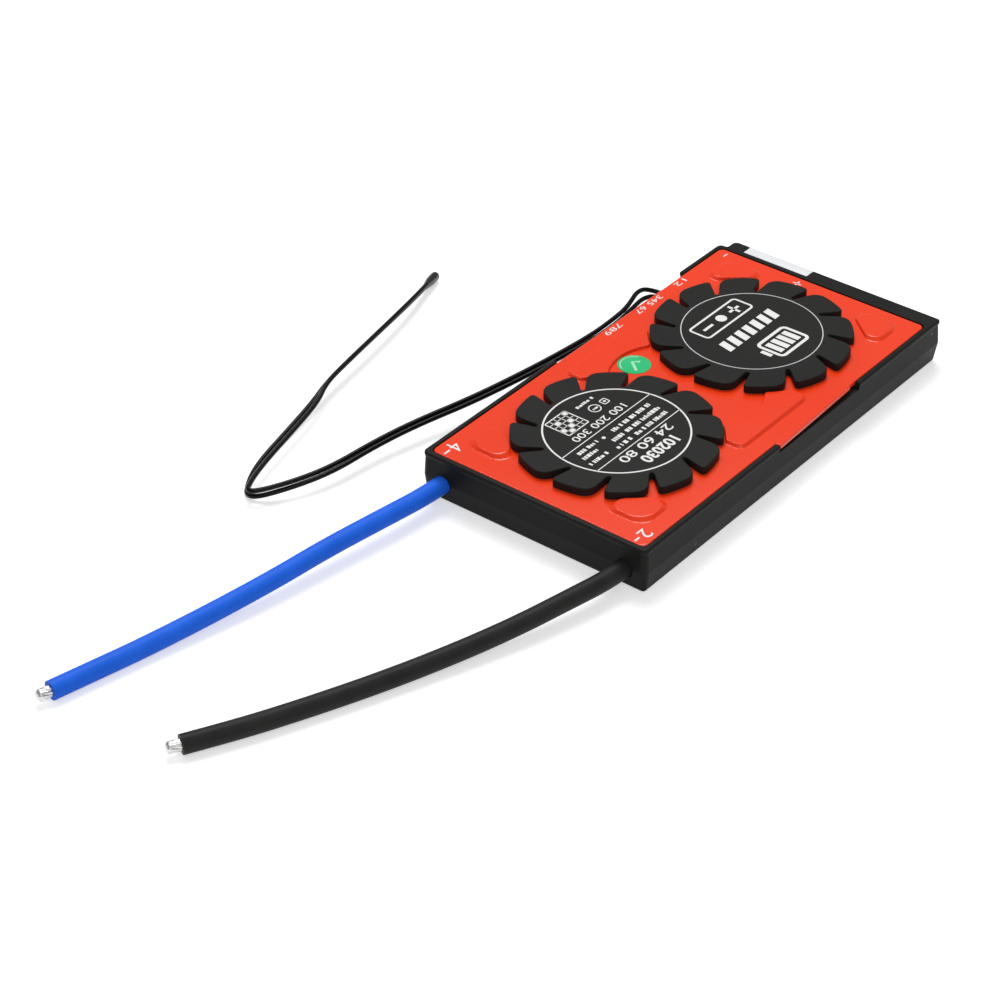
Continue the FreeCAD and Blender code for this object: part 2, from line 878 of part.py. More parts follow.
def cord_path(points, name):
    """Straight runs joined by tangent arcs, each as large as its runs allow."""
    knots = [V(*p) for p in points]
    start = knots[0]
    edges, radii = [], []
    for before, knot, after in zip(knots, knots[1:], knots[2:]):
        back, ahead = before - knot, after - knot
        turn = math.pi - back.getAngle(ahead)
        trim = 0.45 * min(back.Length, ahead.Length)
        radius = trim / math.tan(turn / 2)
        radii.append(round(radius, 1))
        back.normalize()
        ahead.normalize()
        first, last = knot + back * trim, knot + ahead * trim
        rise = radius / math.cos(turn / 2) - radius
        middle = knot + (back + ahead).normalize() * rise
        edges.append(Part.LineSegment(start, first).toShape())
        edges.append(Part.Arc(first, middle, last).toShape())
        start = last
    edges.append(Part.LineSegment(start, knots[-1]).toShape())
    print(name, "arc radii", radii)
    return Part.Wire(edges)


def cord(points, diameter, name):
    """A round cord along a route, with its volume compared with its length."""
    path = cord_path(points, name)
    start = V(*points[0])
    ring = Part.Wire(Part.Circle(start, V(*points[1]) - start, diameter / 2).toShape())
    solid = path.makePipeShell([ring], True, True)
    expected = math.pi * diameter**2 / 4 * path.Length
    print(name, "length", round(path.Length, 1), "volume ratio", round(solid.Volume / expected, 4))
    return solid


def cable_core(side):
    """The bare end of a power cable, soldered down flat on its busbar."""
    start = V(side * cable_x, strip_y, core_height)
    core = Part.makeCylinder(core_radius, core_bare_length, start, V(0, 1, 0))
    under = core_height - core_radius + core_flat
    far = strip_y + core_bare_length + 1
    return core.cut(box(-half_width, half_width, near_end, far, under - 2, under))


def cable_tip(points):
    """The tinned end of a power cable, with a rounded nose."""
    end = V(*points[-1])
    ahead = (end - V(*points[-2])).normalize()
    tip = Part.makeCylinder(tip_diameter / 2, tip_length, end, ahead)
    nose = end + ahead * tip_length
    rim = [edge for edge in tip.Edges if (edge.BoundBox.Center - nose).Length < 0.3]
    return tip.makeFillet(tip_round, rim)


def sensor_bead():
    """The dipped bead on the ends of the sensor's two conductors."""
    start = (V(*sensor_route_a[-1]) + V(*sensor_route_b[-1])) / 2
    ahead = V(*sensor_route_b[-1]) - V(*sensor_route_b[-2])
    r = bead_diameter / 2
    bead = Part.makeCylinder(r, bead_length)
    bead = bead.makeFillet(r - bead_nose, edges_at_height(bead, bead_length))
    bead = bead.makeFillet(bead_shoulder, edges_at_height(bead, 0))
    bead.Placement = FreeCAD.Placement(start, FreeCAD.Rotation(UP, ahead))
    return bead


def sticker():
    """The round sticker on the plate."""
    place = V(sticker_x, plate_middle, plate_top)
    return Part.makeCylinder(sticker_radius, sticker_thickness, place)


def save(name, shape):
    """Write one piece to its own file."""
    solids = shape.Solids
    whole = solids[0] if len(solids) == 1 else Part.makeCompound(solids)
    print(name, "solids", len(solids), "valid", whole.isValid(), "volume", round(whole.Volume, 2))
    whole.exportStep("parts/" + name + ".step")


def main():
    os.makedirs("parts", exist_ok=True)
    save("case", case())
    save("cover_plate", cover_plate())
    save("rosette_near", rosette(rosette_near_y))
    save("rosette_far", rosette(rosette_far_y))
    save("round_sticker", sticker())
    save("circuit_board", circuit_board())
    save("transistors_near", transistor_bank(rosette_near_y))
    save("transistors_far", transistor_bank(rosette_far_y))
    save("thermal_pad_near", thermal_pad(rosette_near_y))
    save("thermal_pad_far", thermal_pad(rosette_far_y))
    save("heat_spreader_near", heat_spreader(rosette_near_y))
    save("heat_spreader_far", heat_spreader(rosette_far_y))
    save("battery_busbar", busbar(-1, rosette_near_y))
    save("pack_busbar", busbar(1, rosette_far_y))
    save("shunts", shunts())
    save("control_chip", control_chip())
    save("monitor_chip", monitor_chip())
    save("balance_resistors", balance_resistors())
    save("capacitors", capacitors())
    save("balance_header", balance_header())
    save("balance_pins", balance_pins())
    sockets = (
        ("uart", uart_pins, uart_y),
        ("led", led_pins, led_y),
        ("sensor", sensor_pins, sensor_y),
    )
    for name, count, y in sockets:
        save(name + "_socket", side_socket(count, y))
        save(name + "_pins", socket_pins(count, y))
    save("sensor_plug", sensor_plug())
    save("sensor_wire_a", cord(sensor_route_a, lead_diameter, "sensor wire a"))
    save("sensor_wire_b", cord(sensor_route_b, lead_diameter, "sensor wire b"))
    save("sensor_bead", sensor_bead())
    save("battery_cable", cord(battery_route, cable_diameter, "battery cable"))
    save("battery_cable_core", cable_core(-1))
    save("battery_cable_tip", cable_tip(battery_route))
    save("pack_cable", cord(pack_route, cable_diameter, "pack cable"))
    save("pack_cable_core", cable_core(1))
    save("pack_cable_tip", cable_tip(pack_route))


main()
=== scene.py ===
"""Battery management board, dressed for rendering.

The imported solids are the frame.  Sizes are in millimetres, in the solids' own
axes, and are turned into metres where geometry is made.  Only the grain of a
material and what is said of each cord are in metres.
"""

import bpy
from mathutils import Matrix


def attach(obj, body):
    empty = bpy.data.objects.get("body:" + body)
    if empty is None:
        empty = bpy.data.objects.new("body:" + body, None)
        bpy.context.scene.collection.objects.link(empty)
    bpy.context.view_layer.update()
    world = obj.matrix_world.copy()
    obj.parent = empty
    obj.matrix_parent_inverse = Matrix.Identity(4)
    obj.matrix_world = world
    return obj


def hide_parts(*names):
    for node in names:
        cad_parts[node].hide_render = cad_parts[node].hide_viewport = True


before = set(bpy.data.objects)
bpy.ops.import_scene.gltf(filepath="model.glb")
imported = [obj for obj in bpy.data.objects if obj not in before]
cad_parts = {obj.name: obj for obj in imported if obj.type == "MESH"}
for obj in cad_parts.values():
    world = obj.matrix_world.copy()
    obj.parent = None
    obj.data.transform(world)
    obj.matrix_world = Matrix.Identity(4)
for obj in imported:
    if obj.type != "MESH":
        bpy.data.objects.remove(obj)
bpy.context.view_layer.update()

import bpy
import bmesh
import math
import random
from mathutils import Matrix, Vector

MM = 0.001
scene = bpy.context.scene

# Sizes shared with the solids
half_width = 32.5
parting_height, foot_draft = 5.5, 0.7
waist_height, waist_inset = 10.6, 0.3
plate_half, plate_near, plate_far = 30.8, -60.6, 57.0
plate_top, plate_under, plate_corner = 11.9, 10.9, 1.5
plate_middle = -1.8
ear_near, ear_far, ear_reach_near, ear_reach_far = -8.6, 22.8, 1.4, 0.4
boss_height, boss_edge, boss_end, boss_middle = 0.8, 26.4, -54.5, -0.5
boss_gap, corner_boss_angle = 0.15, 50.0
middle_boss_far, scoop_x, scoop_radius = 12.44, 5.2, 14.4
rosette_radius, rosette_height = 25.2, 2.1
rosette_near_y, rosette_far_y = -29.65, 26.05
petal_count, disc_radius = 12, 17.5
slot_end_radius, slot_end_at, slot_end_angle = 0.52, 19.3, 31.5
slot_aim, flared_angle, steep_angle = 26.2, 22.6, 29.0
flared_corner, steep_corner = 3.4, 1.0
sticker_x, sticker_thickness = -15.4, 0.12
cable_radius, lead_radius = 2.3, 0.625

# Levels of the rosettes' tops and of the print
petal_top = plate_top + rosette_height - 0.03
disc_print_z = petal_top + 0.012
plate_print_z = plate_top + 0.015
sticker_print_z = plate_top + sticker_thickness + 0.015

# Where the cords run, from the case outwards
battery_route = [
    (-26.4, -57.5, 4.8),
    (-26.4, -66.5, 4.8),
    (-28.5, -82.0, 5.1),
    (-31.1, -98.0, 4.9),
    (-33.0, -112.5, 4.3),
    (-36.6, -130.0, 3.2),
    (-40.6, -147.5, 2.4),
    (-43.3, -159.0, 2.35),
    (-45.9, -170.3, 2.35),
]
pack_route = [
    (26.4, -57.5, 4.8),
    (26.4, -66.0, 4.8),
    (23.3, -79.0, 4.5),
    (19.6, -92.5, 3.7),
    (14.2, -107.7, 2.8),
    (7.9, -124.2, 2.4),
    (0.9, -140.8, 2.35),
    (-5.6, -154.8, 2.35),
    (-11.6, -165.8, 2.35),
]
sensor_route_a = [
    (-33.5, 37.5, 5.8),
    (-37.8, 37.5, 5.8),
    (-39.41, 32.67, 8.0),
    (-36.44, 23.94, 7.9),
    (-36.09, 17.33, 7.6),
    (-36.18, 8.68, 7.3),
    (-38.35, -3.75, 6.4),
    (-40.8, -16.19, 5.8),
    (-44.14, -30.82, 5.2),
    (-48.44, -45.44, 4.8),
    (-51.08, -57.95, 4.3),
    (-52.41, -72.0, 4.1),
    (-55.91, -82.58, 3.9),
    (-61.16, -92.11, 3.6),
    (-64.02, -87.47, 3.5),
    (-67.07, -78.4, 3.4),
    (-69.9, -67.1, 3.5),
    (-73.54, -52.83, 3.8),
    (-76.89, -46.05, 4.5),
    (-79.0, -34.99, 4.8),
    (-81.86, -19.25, 4.92),
    (-85.85, -1.73, 4.23),
    (-89.25, 8.07, 2.81),
]
sensor_route_b = [
    (-33.5, 35.5, 5.8),
    (-36.1, 35.5, 5.8),
    (-37.16, 31.61, 6.6),
    (-35.87, 25.42, 7.1),
    (-34.85, 17.94, 6.94),
    (-34.85, 9.09, 6.84),
    (-37.13, -4.58, 6.11),
    (-39.59, -16.87, 5.48),
    (-42.92, -31.34, 4.84),
    (-47.22, -45.97, 4.46),
    (-49.84, -58.64, 3.98),
    (-51.14, -72.56, 3.59),
    (-55.57, -83.1, 2.65),
    (-62.44, -91.2, 0.8),
    (-67.63, -84.51, 0.6),
    (-70.81, -76.65, 0.8),
    (-72.88, -65.49, 1.8),
    (-75.6, -52.6, 2.75),
    (-78.2, -44.38, 3.3),
    (-80.05, -33.79, 3.7),
    (-82.81, -18.69, 3.81),
    (-86.45, -2.11, 3.07),
    (-89.85, 7.69, 1.65),
]


# Materials
def node_material(
    name, tones, rough, metallic=0.0, tone_scale=40.0, grain=(2500.0, 0.15, 0.00003), **sockets
):
    """A procedural finish: two tones in slow noise, uneven roughness and a fine grain."""
    grain_scale, grain_strength, grain_depth = grain
    rough_swing, least_rough = 0.06, 0.02
    material = bpy.data.materials.new(name)
    material.use_nodes = True
    nodes, links = material.node_tree.nodes, material.node_tree.links
    shader = nodes["Principled BSDF"]
    place = nodes.new("ShaderNodeTexCoord")
    slow = nodes.new("ShaderNodeTexNoise")
    slow.inputs["Scale"].default_value = tone_scale
    slow.inputs["Detail"].default_value = 4.0
    links.new(place.outputs["Object"], slow.inputs["Vector"])
    ramp = nodes.new("ShaderNodeValToRGB")
    for element, position, tone in zip(ramp.color_ramp.elements, (0.3, 0.7), tones):
        element.position = position
        element.color = (*tone, 1.0)
    links.new(slow.outputs["Fac"], ramp.inputs["Fac"])
    links.new(ramp.outputs["Color"], shader.inputs["Base Color"])
    fine = nodes.new("ShaderNodeTexNoise")
    fine.inputs["Scale"].default_value = grain_scale
    fine.inputs["Detail"].default_value = 3.0
    links.new(place.outputs["Object"], fine.inputs["Vector"])
    spread = nodes.new("ShaderNodeMapRange")
    spread.inputs["To Min"].default_value = max(rough - rough_swing, least_rough)
    spread.inputs["To Max"].default_value = rough + rough_swing
    links.new(slow.outputs["Fac"], spread.inputs["Value"])
    links.new(spread.outputs["Result"], shader.inputs["Roughness"])
    bump = nodes.new("ShaderNodeBump")
    bump.inputs["Strength"].default_value = grain_strength
    bump.inputs["Distance"].default_value = grain_depth
    links.new(fine.outputs["Fac"], bump.inputs["Height"])
    links.new(bump.outputs["Normal"], shader.inputs["Normal"])
    shader.inputs["Metallic"].default_value = metallic
    for socket, value in sockets.items():
        shader.inputs[socket.replace("_", " ")].default_value = value
    return material


case_black = node_material(
    "case_black", ((0.013, 0.013, 0.0123), (0.0195, 0.0195, 0.0185)), 0.4, tone_scale=60.0,
    grain=(3200.0, 0.4, 0.00004), Specular_IOR_Level=0.07,
)
plate_red = node_material(
    "plate_red", ((0.96, 0.046, 0.006), (0.99, 0.055, 0.009)), 0.2, tone_scale=18.0,
    grain=(900.0, 0.08, 0.00004), Specular_IOR_Level=0.4,
)
rosette_black = node_material(
    "rosette_black", ((0.0135, 0.0135, 0.0128), (0.0185, 0.0185, 0.0175)), 0.45, tone_scale=30.0,
    grain=(3500.0, 0.4, 0.00004), Specular_IOR_Level=0.09,
)
print_white = node_material("print_white", ((0.86, 0.86, 0.85), (0.92, 0.92, 0.91)), 0.5, tone_scale=300.0)
print_grey = node_material("print_grey", ((0.62, 0.62, 0.62), (0.7, 0.7, 0.7)), 0.5, tone_scale=300.0)
pale_green = node_material("pale_green", ((0.36, 0.8, 0.5), (0.42, 0.84, 0.55)), 0.4, tone_scale=300.0)
sticker_green = node_material(
    "sticker_green", ((0.012, 0.53, 0.17), (0.02, 0.6, 0.21)), 0.3, tone_scale=200.0,
    Specular_IOR_Level=0.3,
)
board_green = node_material("board_green", ((0.012, 0.09, 0.04), (0.02, 0.13, 0.06)), 0.3)
package_black = node_material("package_black", ((0.015, 0.015, 0.015), (0.025, 0.025, 0.025)), 0.5)
pad_grey = node_material("pad_grey", ((0.28, 0.3, 0.33), (0.36, 0.38, 0.4)), 0.8)
spreader_metal = node_material("spreader_metal", ((0.66, 0.66, 0.67), (0.76, 0.76, 0.77)), 0.35, 1.0)
copper = node_material("copper", ((0.72, 0.34, 0.2), (0.82, 0.45, 0.28)), 0.3, 1.0)
tinned = node_material(
    "tinned", ((0.62, 0.61, 0.6), (0.82, 0.81, 0.8)), 0.28, 1.0, tone_scale=900.0,
    grain=(1800.0, 0.5, 0.00006),
)
can_metal = node_material("can_metal", ((0.7, 0.7, 0.72), (0.8, 0.8, 0.82)), 0.25, 1.0)
resistor_dark = node_material("resistor_dark", ((0.03, 0.03, 0.05), (0.06, 0.06, 0.08)), 0.3)
header_white = node_material("header_white", ((0.84, 0.85, 0.87), (0.88, 0.89, 0.91)), 0.5, tone_scale=150.0)
cable_blue = node_material(
    "cable_blue", ((0.014, 0.145, 0.86), (0.02, 0.17, 0.97)), 0.5, tone_scale=160.0,
    grain=(420.0, 0.35, 0.00012), Specular_IOR_Level=0.14,
)
cable_black = node_material(
    "cable_black", ((0.018, 0.018, 0.018), (0.026, 0.026, 0.025)), 0.5, tone_scale=160.0,
    grain=(420.0, 0.45, 0.00014), Specular_IOR_Level=0.14,
)
lead_black = node_material(
    "lead_black", ((0.002, 0.002, 0.002), (0.004, 0.004, 0.004)), 0.27, Specular_IOR_Level=0.17,
)
bead_black = node_material(
    "bead_black", ((0.006, 0.006, 0.006), (0.012, 0.012, 0.012)), 0.2, tone_scale=400.0,
    Specular_IOR_Level=0.4,
)

node_finish = {
    "case": case_black,
    "cover_plate": plate_red,
    "rosette_near": rosette_black,
    "rosette_far": rosette_black,
    "round_sticker": sticker_green,
    "circuit_board": board_green,
    "transistors_near": package_black,
    "transistors_far": package_black,
    "thermal_pad_near": pad_grey,
    "thermal_pad_far": pad_grey,
    "heat_spreader_near": spreader_metal,
    "heat_spreader_far": spreader_metal,
    "battery_busbar": copper,
    "pack_busbar": copper,
    "shunts": tinned,
    "control_chip": package_black,
    "monitor_chip": package_black,
    "balance_resistors": resistor_dark,
    "capacitors": can_metal,
    "balance_header": header_white,
    "balance_pins": tinned,
    "uart_socket": header_white,
    "uart_pins": tinned,
    "led_socket": header_white,
    "led_pins": tinned,
    "sensor_socket": header_white,
    "sensor_pins": tinned,
    "sensor_plug": header_white,
    "sensor_wire_a": lead_black,
    "sensor_wire_b": lead_black,
    "sensor_bead": bead_black,
    "battery_cable": cable_blue,
    "battery_cable_core": tinned,
    "battery_cable_tip": tinned,
    "pack_cable": cable_black,
    "pack_cable_core": tinned,
    "pack_cable_tip": tinned,
}
for node, finish in node_finish.items():
    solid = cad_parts[node]
    solid.data.materials.clear()
    solid.data.materials.append(finish)


# Pieces
def in_metres(point):
    """A millimetre point in metres."""
    return tuple(c * MM for c in point)


def take_part(piece, nodes):
    """Link a piece that rides on the only body and the nodes it stands for."""
    scene.collection.objects.link(piece)
    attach(piece, "root")
    if nodes:
        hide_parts(*nodes)


def finished_piece(name, mesh, material, nodes=(), smooth=True):
    """A piece from a mesh that is already in metres."""
    mesh.materials.append(material)
    mesh.polygons.foreach_set("use_smooth", [smooth] * len(mesh.polygons))
    piece = bpy.data.objects.new(name, mesh)
    take_part(piece, nodes)
    return piece


def mesh_piece(name, vertices, faces, material, nodes=(), smooth=True):
    """A piece from millimetre vertices and the faces between them."""
    mesh = bpy.data.meshes.new(name)
    mesh.from_pydata([in_metres(v) for v in vertices], [], faces)
    mesh.validate()
    mesh.update()
    return finished_piece(name, mesh, material, nodes, smooth)


def sharpen(piece, angle):
    """Keep edges sharper than an angle in degrees crisp in smooth shading."""
    work = bmesh.new()
    work.from_mesh(piece.data)
    for edge in work.edges:
        if len(edge.link_faces) == 2 and edge.calc_face_angle(0.0) > math.radians(angle):
            edge.smooth = False
    work.to_mesh(piece.data)
    work.free()


def weigh_normals(piece):
    """Let the large flat faces lead the shading of the small rounded ones."""
    weights = piece.modifiers.new("weights", "WEIGHTED_NORMAL")
    weights.keep_sharp = True


# Shapes that several pieces share
def heading(vector):
    """The angle of a plan vector, in radians."""
    return math.atan2(vector.y, vector.x)


def onward(start, end):
    """The end angle, or a turn later where it lies before the start."""
    return end + 2 * math.pi if end < start else end


def swing(centre, radius, start, end, steps):
    """Points on an arc between two angles in radians."""
    points = []
    for k in range(steps + 1):
        angle = start + (end - start) * k / steps
        points.append((centre[0] + radius * math.cos(angle), centre[1] + radius * math.sin(angle)))
    return points


def rounded_loop(corners, steps=8):
    """A closed loop of points through corners (x, y, radius) rounded by tangent arcs."""
    loop = []
    count = len(corners)
    for i, (x, y, radius) in enumerate(corners):
        here = Vector((x, y))
        back = (Vector(corners[i - 1][:2]) - here).normalized()
        ahead = (Vector(corners[(i + 1) % count][:2]) - here).normalized()
        half = back.angle(ahead) / 2
        centre = here + (back + ahead).normalized() * (radius / math.sin(half))
        start = heading(here + back * (radius / math.tan(half)) - centre)
        turn = heading(here + ahead * (radius / math.tan(half)) - centre) - start
        turn = (turn + math.pi) % (2 * math.pi) - math.pi
        loop += swing(centre, radius, start, start + turn, steps)
    return loop


def inset_loop(loop, inset):
    """A loop drawn in by a small inset."""
    count = len(loop)
    moved = []
    for k, (x, y) in enumerate(loop):
        along = Vector(loop[(k + 1) % count]) - Vector(loop[k - 1])
        inward = Vector((-along.y, along.x)).normalized()
        moved.append((x + inward.x * inset, y + inward.y * inset))
    return moved


def ring_faces(rings, around, first=0):
    """Faces between equal rings of vertices, closed at both ends."""
    faces = []
    for i in range(rings - 1):
        low, high = first + i * around, first + (i + 1) * around
        for k in range(around):
            n = (k + 1) % around
            faces.append((low + k, low + n, high + n, high + k))
    faces.append(tuple(first + k for k in range(around - 1, -1, -1)))
    faces.append(tuple(first + (rings - 1) * around + k for k in range(around)))
    return faces


def upright_solid(loop, levels, shift=0.0):
    """Vertices and faces of a solid on a loop, drawn in by (inset, height) levels."""
    vertices = []
    for inset, z in levels:
        vertices += [(x, y + shift, z) for x, y in inset_loop(loop, inset)]
    return vertices, ring_faces(len(levels), len(loop))


# Camera, floor and light
camera_data = bpy.data.cameras.new("camera")
camera_data.lens = 103.458
camera_data.sensor_width = 36.0
camera = bpy.data.objects.new("camera", camera_data)
scene.collection.objects.link(camera)
camera_right = Vector((0.78108291, 0.62440456, -0.00533261))
camera_up = Vector((-0.35966464, 0.45686155, 0.81358396))
camera_back = Vector((0.5104418, -0.63355858, 0.58142299))
camera_place = Vector((328.53, -481.20, 392.64)) * MM
turn = Matrix((camera_right, camera_up, camera_back)).transposed().to_4x4()
camera.matrix_world = Matrix.Translation(camera_place) @ turn
scene.camera = camera


def floor_paper():
    """White paper that takes shadows, and glows only for the camera and in reflections."""
    material = bpy.data.materials.new("floor_paper")
    material.use_nodes = True
    nodes, links = material.node_tree.nodes, material.node_tree.links
    paper = nodes["Principled BSDF"]
    paper.inputs["Base Color"].default_value = (0.8, 0.8, 0.8, 1.0)
    paper.inputs["Roughness"].default_value = 0.6
    glow = nodes.new("ShaderNodeEmission")
    glow.inputs["Strength"].default_value = 0.5
    dark = nodes.new("ShaderNodeEmission")
    dark.inputs["Strength"].default_value = 0.0
    rays = nodes.new("ShaderNodeLightPath")
    either = nodes.new("ShaderNodeMath")
    either.operation = "MAXIMUM"
    links.new(rays.outputs["Is Camera Ray"], either.inputs[0])
    links.new(rays.outputs["Is Glossy Ray"], either.inputs[1])
    shown = nodes.new("ShaderNodeMixShader")
    links.new(either.outputs["Value"], shown.inputs["Fac"])
    links.new(dark.outputs["Emission"], shown.inputs[1])
    links.new(glow.outputs["Emission"], shown.inputs[2])
    both = nodes.new("ShaderNodeAddShader")
    links.new(paper.outputs["BSDF"], both.inputs[0])
    links.new(shown.outputs["Shader"], both.inputs[1])
    links.new(both.outputs["Shader"], nodes["Material Output"].inputs["Surface"])
    return material


def lay_floor():
    """A wide sheet of paper, just under the surface that the part stands on."""
    reach, drop = 3000.0, 0.02
    corners = [(-reach, -reach), (reach, -reach), (reach, reach), (-reach, reach)]
    mesh = bpy.data.meshes.new("floor")
    mesh.from_pydata([in_metres((x, y, -drop)) for x, y in corners], [], [(0, 1, 2, 3)])
    mesh.materials.append(floor_paper())
    floor = bpy.data.objects.new("floor", mesh)
    scene.collection.objects.link(floor)


lay_floor()

world = bpy.data.worlds.new("world")
scene.world = world
world.use_nodes = True
sky = world.node_tree.nodes["Background"]
sky.inputs["Color"].default_value = (1.0, 1.0, 1.0, 1.0)
sky.inputs["Strength"].default_value = 0.34


def area_light(name, place, size, power):
    """A soft square lamp at a place, facing the part's middle, with its power in watts."""
    aim = Vector((0, -20, 0))
    data = bpy.data.lights.new(name, "AREA")
    data.size = size * MM
    data.energy = power
    lamp = bpy.data.objects.new(name, data)
    scene.collection.objects.link(lamp)
    lamp.location = Vector(place) * MM
    lamp.rotation_euler = (aim - Vector(place)).to_track_quat("-Z", "Y").to_euler()


area_light("key", (-330, 320, 860), 500, 5.8)
area_light("fill", (560, -480, 700), 700, 1.9)
scene.view_settings.view_transform = "Standard"


# Cords
def cord_piece(name, route, radius, material, node, sides=6):
    """A smooth round cord along its route."""
    data = bpy.data.curves.new(name, "CURVE")
    data.dimensions = "3D"
    line = data.splines.new("NURBS")
    line.points.add(len(route) - 1)
    for point, place in zip(line.points, route):
        point.co = (*in_metres(place), 1.0)
    line.order_u = 3
    line.use_endpoint_u = True
    line.resolution_u = 10
    data.bevel_depth = radius * MM
    data.bevel_resolution = sides
    data.use_fill_caps = True
    data.materials.append(material)
    piece = bpy.data.objects.new(name, data)
    take_part(piece, [node])
    return piece


def cable_tip(name, route, node):
    """The twisted strands of a tinned cable end, drawn together by solder."""
    end, before = Vector(route[-1]), Vector(route[-2])
    axis = (end - before).normalized()
    side = axis.cross(Vector((0, 0, 1))).normalized()
    rise = side.cross(axis)
    rings, around = 22, 90
    length, radius = 3.38, 1.46
    strands, twist, groove = 9, 0.9, 0.1
    waist, waist_turn = 0.03, 3.1
    nose_length, nose_drop, nose_least = 0.9, 0.82, 0.02
    vertices = []
    for i in range(rings + 1):
        t = i / rings
        along = length * t
        swell = radius * (1.0 - waist * math.sin(waist_turn * t))
        nose = length - along
        if nose < nose_length:
            swell *= math.sqrt(max(1 - (1 - nose / nose_length) ** 2 * nose_drop, nose_least))
        for k in range(around):
            angle = 2 * math.pi * k / around
            lobe = abs(math.cos(strands * (angle + twist * t) / 2))
            r = swell * (1.0 - groove + groove * lobe)
            spot = end + axis * along + side * (r * math.cos(angle)) + rise * (r * math.sin(angle))
            vertices.append(spot)
    return mesh_piece(name, vertices, ring_faces(rings + 1, around), tinned, [node])


def dipped_bead():
    """The sensor's bead: a round body drawn in to a flat tail over the two leads."""
    end_a, end_b = Vector(sensor_route_a[-1]), Vector(sensor_route_b[-1])
    start = (end_a + end_b) / 2
    axis = (end_b - Vector(sensor_route_b[-2])).normalized()
    wide = end_a - end_b
    wide = (wide - axis * wide.dot(axis)).normalized()
    thin = axis.cross(wide)
    body_end, half_wide, half_thin = 5.62, 1.375, 1.28
    nose_steps, nose_step = 8, math.radians(10.5)
    profile = [
        (-1.75, 1.05, 0.42), (-1.65, 1.24, 0.6), (-1.2, 1.31, 0.7), (-0.4, 1.33, 0.84),
        (0.5, 1.35, 1.02), (1.4, 1.37, 1.15), (2.2, half_wide, 1.22), (3.0, half_wide, 1.26),
        (3.8, half_wide, half_thin), (body_end, half_wide, half_thin),
    ]
    for k in range(1, nose_steps + 1):
        drawn = math.cos(nose_step * k)
        along = body_end + half_wide * math.sin(nose_step * k)
        profile.append((along, half_wide * drawn, half_thin * drawn))
    around = 32
    vertices = []
    for along, a, b in profile:
        for k in range(around):
            angle = 2 * math.pi * k / around
            spot = start + axis * along + wide * (a * math.cos(angle)) + thin * (b * math.sin(angle))
            vertices.append(spot)
    faces = ring_faces(len(profile), around)
    return mesh_piece("dipped_bead", vertices, faces, bead_black, ["sensor_bead"])


battery_tip = cable_tip("battery_tip_strands", battery_route, "battery_cable_tip")
pack_tip = cable_tip("pack_tip_strands", pack_route, "pack_cable_tip")
bead = dipped_bead()
battery_cord = cord_piece(
    "battery_cord", battery_route, cable_radius, cable_blue, "battery_cable",
)
pack_cord = cord_piece(
    "pack_cord", pack_route, cable_radius, cable_black, "pack_cable",
)
lead_a = cord_piece(
    "sensor_lead_a", sensor_route_a, lead_radius, lead_black, "sensor_wire_a", 4,
)
lead_b = cord_piece(
    "sensor_lead_b", sensor_route_b, lead_radius, lead_black, "sensor_wire_b", 4,
)


# Cover plate, pressed from one sheet
def corner_boss(t):
    """Outline of the near right corner boss, t of the way up its slope."""
    outer_run, back_run = 0.9 * t, 0.3 * t
    tip_share, heel_share = 0.16 + 0.04 * t, 0.22 + 0.14 * t
    turn = math.radians(corner_boss_angle)
    face_x, face_y = math.cos(turn), -math.sin(turn)
    edge, end = boss_edge - outer_run, boss_end + outer_run
    reach = rosette_radius + boss_gap + back_run
    tip_x = (reach - face_y * (end - rosette_near_y)) / face_x
    tip_y = rosette_near_y + (reach - face_x * edge) / face_y
    width = edge - tip_x
    tip, heel = tip_share * width, heel_share * width
    return rounded_loop([(tip_x, end, tip), (edge, end, heel), (edge, tip_y, tip)], 12)


def middle_half(t):
    """Far half of the right middle boss's outline, from the outer side to the scoop."""
    outer_run, back_run = 0.8 * t, 0.4 * t
    big, small = 2.4 - 0.6 * t, 1.2 - 0.5 * t
    edge, far = boss_edge - outer_run, middle_boss_far - outer_run
    disc, scoop = rosette_radius + boss_gap + back_run, scoop_radius + back_run
    disc_at, scoop_at = Vector((0.0, rosette_far_y)), Vector((scoop_x, plate_middle))
    points = swing((edge - big, far - big), big, 0.0, math.pi / 2, 8)
    y = far - small
    outer = Vector((math.sqrt((disc + small) ** 2 - (rosette_far_y - y) ** 2), y))
    points += swing(outer, small, math.pi / 2, heading(disc_at - outer), 6)
    gap = scoop_at - disc_at
    along = (gap.length_squared + (disc + small) ** 2 - (scoop + small) ** 2) / (2 * gap.length)
    across = math.sqrt((disc + small) ** 2 - along * along)
    axis = gap.normalized()
    inner = disc_at + axis * along + Vector((-axis.y, axis.x)) * across
    points += swing(disc_at, disc, heading(outer - disc_at), heading(inner - disc_at), 10)[1:-1]
    begin = heading(disc_at - inner)
    points += swing(inner, small, begin, onward(begin, heading(scoop_at - inner)), 8)
    points += swing(scoop_at, scoop, heading(inner - scoop_at), 0.0, 10)[1:]
    return points


def middle_boss(t):
    """Whole outline of the right middle boss, anticlockwise."""
    half = middle_half(t)
    other = [(x, 2 * plate_middle - y) for x, y in reversed(half[:-1])]
    return half + other


def mirrored(loop, about_y=None):
    """A loop mirrored in the middle line, or in a line of constant y."""
    if about_y is None:
        flipped = [(-x, y) for x, y in loop]
    else:
        flipped = [(x, 2 * about_y - y) for x, y in loop]
    return flipped[::-1]


def boss_rings():
    """The six bosses, each as rings from its foot to its crown, and how far up each ring is."""
    steps = 9
    shares = [k / steps for k in range(steps + 1)]
    corner = [corner_boss(t) for t in shares]
    middle = [middle_boss(t) for t in shares]
    bosses = []
    for rings in (corner, [mirrored(r, boss_middle) for r in corner], middle):
        bosses.append(rings)
        bosses.append([mirrored(r) for r in rings])
    return bosses, shares


